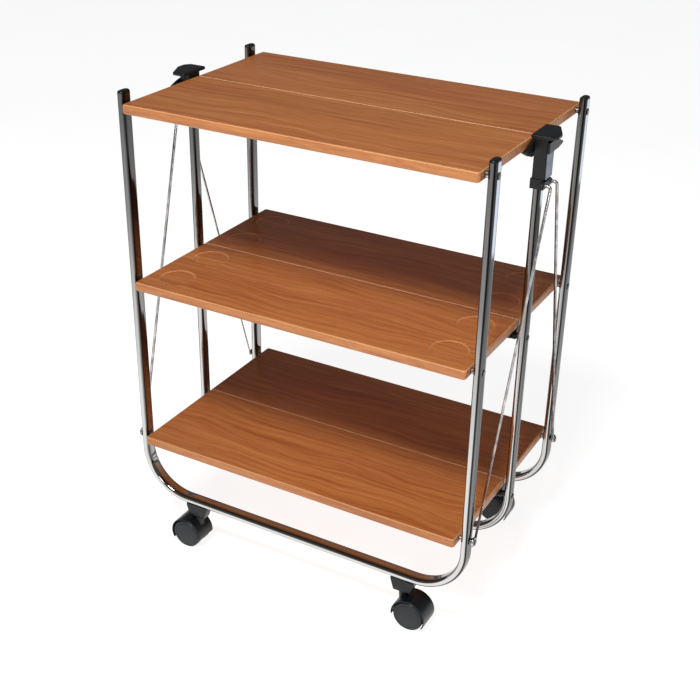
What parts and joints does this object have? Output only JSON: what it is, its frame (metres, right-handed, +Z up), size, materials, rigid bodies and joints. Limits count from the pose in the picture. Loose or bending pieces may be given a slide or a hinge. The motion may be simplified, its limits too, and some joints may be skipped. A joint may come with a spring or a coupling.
{
  "type": "folding serving trolley",
  "caption": "Folding serving trolley: split board shelves hinged between chromed flat-oval tube U-frames, with end grip handles, brace rods and swivel castors.",
  "frame": {"origin": "on the floor under the middle of the trolley, centre of the bounding box bottom", "axes": "+Z up, +X along the long side of the shelves (towards the right-hand handle), +Y from the front towards the rear"},
  "size_m": [0.686, 0.4, 0.8286],
  "materials": {
    "frame_chrome": "bright chromed flat-oval tube",
    "board_wood": "reddish cherry-look moulded board, satin lacquer, rounded edges",
    "pin_steel": "plated steel pins and rivets",
    "rod_steel": "plated wire rod",
    "bracket_plastic": "black moulded bracket",
    "cap_plastic": "black push-in cap",
    "grip_plastic": "satin black moulded handle, trigger and collar",
    "castor_plastic": "black moulded socket and hood",
    "wheel_plastic": "black moulded twin wheel"
  },
  "bodies": {
    "front_frame_body": {"front_frame": "frame_chrome", "cap_front_left": "cap_plastic", "cap_front_right": "cap_plastic", "castor_socket_front_left": "castor_plastic", "castor_socket_front_right": "castor_plastic", "bottom_pin_front_left": "pin_steel", "bottom_pin_front_right": "pin_steel", "middle_pin_front_left": "pin_steel", "middle_pin_front_right": "pin_steel", "top_pin_front_left": "pin_steel", "top_pin_front_right": "pin_steel"},
    "rear_frame_body": {"rear_frame": "frame_chrome", "cap_rear_left": "cap_plastic", "cap_rear_right": "cap_plastic", "castor_socket_rear_left": "castor_plastic", "castor_socket_rear_right": "castor_plastic", "bottom_pin_rear_left": "pin_steel", "bottom_pin_rear_right": "pin_steel", "middle_pin_rear_left": "pin_steel", "middle_pin_rear_right": "pin_steel", "top_pin_rear_left": "pin_steel", "top_pin_rear_right": "pin_steel"},
    "middle_frame_body": {"middle_frame": "frame_chrome", "handle_left": "grip_plastic", "handle_right": "grip_plastic"},
    "bottom_front_half": {"bottom_shelf_front": "board_wood", "bottom_bracket_front_left": "bracket_plastic", "bottom_bracket_front_right": "bracket_plastic"},
    "bottom_rear_half": {"bottom_shelf_rear": "board_wood", "bottom_bracket_rear_left": "bracket_plastic", "bottom_bracket_rear_right": "bracket_plastic"},
    "middle_front_half": {"middle_shelf_front": "board_wood", "middle_bracket_front_left": "bracket_plastic", "middle_bracket_front_right": "bracket_plastic"},
    "middle_rear_half": {"middle_shelf_rear": "board_wood", "middle_bracket_rear_left": "bracket_plastic", "middle_bracket_rear_right": "bracket_plastic"},
    "top_front_half": {"top_shelf_front": "board_wood", "top_bracket_front_left": "bracket_plastic", "top_bracket_front_right": "bracket_plastic"},
    "top_rear_half": {"top_shelf_rear": "board_wood", "top_bracket_rear_left": "bracket_plastic", "top_bracket_rear_right": "bracket_plastic"},
    "collar_left_body": {"collar_left": "grip_plastic"},
    "trigger_left_body": {"trigger_left": "grip_plastic"},
    "rod_front_left_body": {"rod_front_left": "rod_steel"},
    "castor_front_left": {"castor_hood_front_left": "castor_plastic"},
    "wheels_front_left": {"castor_wheels_front_left": "wheel_plastic"},
    "rod_rear_left_body": {"rod_rear_left": "rod_steel"},
    "castor_rear_left": {"castor_hood_rear_left": "castor_plastic"},
    "wheels_rear_left": {"castor_wheels_rear_left": "wheel_plastic"},
    "collar_right_body": {"collar_right": "grip_plastic"},
    "trigger_right_body": {"trigger_right": "grip_plastic"},
    "rod_front_right_body": {"rod_front_right": "rod_steel"},
    "castor_front_right": {"castor_hood_front_right": "castor_plastic"},
    "wheels_front_right": {"castor_wheels_front_right": "wheel_plastic"},
    "rod_rear_right_body": {"rod_rear_right": "rod_steel"},
    "castor_rear_right": {"castor_hood_rear_right": "castor_plastic"},
    "wheels_rear_right": {"castor_wheels_rear_right": "wheel_plastic"}
  },
  "joints": [
    {"name": "fold", "type": "hinge", "parent": "front_frame_body", "child": "middle_front_half", "pos_m": [0, -0.177, 0.5048], "axis": [1, 0, 0], "range_deg": [0, 88]},
    {"name": "middle_frame_lift", "type": "hinge", "parent": "middle_front_half", "child": "middle_frame_body", "pos_m": [0, 0, 0.4848], "axis": [1, 0, 0], "range_deg": [-88, 0]},
    {"name": "top_front_fold", "type": "hinge", "parent": "front_frame_body", "child": "top_front_half", "pos_m": [0, -0.177, 0.8048], "axis": [1, 0, 0], "range_deg": [0, 88]},
    {"name": "bottom_front_fold", "type": "hinge", "parent": "front_frame_body", "child": "bottom_front_half", "pos_m": [0, -0.177, 0.2048], "axis": [1, 0, 0], "range_deg": [0, 88]},
    {"name": "bottom_rear_fold", "type": "hinge", "parent": "middle_frame_body", "child": "bottom_rear_half", "pos_m": [0, 0, 0.1848], "axis": [1, 0, 0], "range_deg": [-88, 0]},
    {"name": "middle_rear_fold", "type": "hinge", "parent": "middle_frame_body", "child": "middle_rear_half", "pos_m": [0, 0, 0.4848], "axis": [1, 0, 0], "range_deg": [-88, 0]},
    {"name": "top_rear_fold", "type": "hinge", "parent": "middle_frame_body", "child": "top_rear_half", "pos_m": [0, 0, 0.7848], "axis": [1, 0, 0], "range_deg": [-88, 0]},
    {"name": "rear_frame_close", "type": "hinge", "parent": "middle_rear_half", "child": "rear_frame_body", "pos_m": [0, 0.177, 0.5048], "axis": [1, 0, 0], "range_deg": [0, 88]},
    {"name": "collar_slide_left", "type": "slide", "parent": "middle_frame_body", "child": "collar_left_body", "axis": [0, 0, -1], "range_m": [0, 0.1724]},
    {"name": "rod_swing_front_left", "type": "hinge", "parent": "front_frame_body", "child": "rod_front_left_body", "pos_m": [-0.3185, -0.177, 0.2048], "axis": [1, 0, 0], "range_deg": [0, 15.67]},
    {"name": "rod_swing_rear_left", "type": "hinge", "parent": "rear_frame_body", "child": "rod_rear_left_body", "pos_m": [-0.3185, 0.177, 0.2048], "axis": [1, 0, 0], "range_deg": [-15.67, 0]},
    {"name": "collar_slide_right", "type": "slide", "parent": "middle_frame_body", "child": "collar_right_body", "axis": [0, 0, -1], "range_m": [0, 0.1724]},
    {"name": "rod_swing_front_right", "type": "hinge", "parent": "front_frame_body", "child": "rod_front_right_body", "pos_m": [0.3185, -0.177, 0.2048], "axis": [1, 0, 0], "range_deg": [0, 15.67]},
    {"name": "rod_swing_rear_right", "type": "hinge", "parent": "rear_frame_body", "child": "rod_rear_right_body", "pos_m": [0.3185, 0.177, 0.2048], "axis": [1, 0, 0], "range_deg": [-15.67, 0]},
    {"name": "trigger_pull_left", "type": "slide", "parent": "middle_frame_body", "child": "trigger_left_body", "axis": [0, 0, 1], "range_m": [0, 0.008], "stiffness_N_per_m": 200, "springref_m": -0.005},
    {"name": "trigger_pull_right", "type": "slide", "parent": "middle_frame_body", "child": "trigger_right_body", "axis": [0, 0, 1], "range_m": [0, 0.008], "stiffness_N_per_m": 200, "springref_m": -0.005},
    {"name": "castor_swivel_front_left", "type": "hinge", "parent": "front_frame_body", "child": "castor_front_left", "pos_m": [-0.207, -0.177, 0.064], "axis": [0, 0, 1], "continuous": true},
    {"name": "wheel_spin_front_left", "type": "hinge", "parent": "castor_front_left", "child": "wheels_front_left", "pos_m": [-0.225, -0.177, 0.027], "axis": [0, 1, 0], "continuous": true},
    {"name": "castor_swivel_front_right", "type": "hinge", "parent": "front_frame_body", "child": "castor_front_right", "pos_m": [0.207, -0.177, 0.064], "axis": [0, 0, 1], "continuous": true},
    {"name": "wheel_spin_front_right", "type": "hinge", "parent": "castor_front_right", "child": "wheels_front_right", "pos_m": [0.225, -0.177, 0.027], "axis": [0, 1, 0], "continuous": true},
    {"name": "castor_swivel_rear_left", "type": "hinge", "parent": "rear_frame_body", "child": "castor_rear_left", "pos_m": [-0.207, 0.177, 0.064], "axis": [0, 0, 1], "continuous": true},
    {"name": "wheel_spin_rear_left", "type": "hinge", "parent": "castor_rear_left", "child": "wheels_rear_left", "pos_m": [-0.189, 0.177, 0.027], "axis": [0, 1, 0], "continuous": true},
    {"name": "castor_swivel_rear_right", "type": "hinge", "parent": "rear_frame_body", "child": "castor_rear_right", "pos_m": [0.207, 0.177, 0.064], "axis": [0, 0, 1], "continuous": true},
    {"name": "wheel_spin_rear_right", "type": "hinge", "parent": "castor_rear_right", "child": "wheels_rear_right", "pos_m": [0.225, 0.177, 0.027], "axis": [0, 1, 0], "continuous": true}
  ],
  "couplings": [
    {"joint": "middle_frame_lift", "follows": "fold", "ratio": -1},
    {"joint": "top_front_fold", "follows": "fold", "ratio": 1},
    {"joint": "bottom_front_fold", "follows": "fold", "ratio": 1},
    {"joint": "bottom_rear_fold", "follows": "fold", "ratio": -1},
    {"joint": "middle_rear_fold", "follows": "fold", "ratio": -1},
    {"joint": "top_rear_fold", "follows": "fold", "ratio": -1},
    {"joint": "rear_frame_close", "follows": "fold", "ratio": 1},
    {"joint": "collar_slide_left", "follows": "fold", "m_per_rad": 0.11192},
    {"joint": "rod_swing_front_left", "follows": "fold", "ratio": 0.1775},
    {"joint": "rod_swing_rear_left", "follows": "fold", "ratio": -0.1775},
    {"joint": "collar_slide_right", "follows": "fold", "m_per_rad": 0.11192},
    {"joint": "rod_swing_front_right", "follows": "fold", "ratio": 0.1775},
    {"joint": "rod_swing_rear_right", "follows": "fold", "ratio": -0.1775}
  ]
}
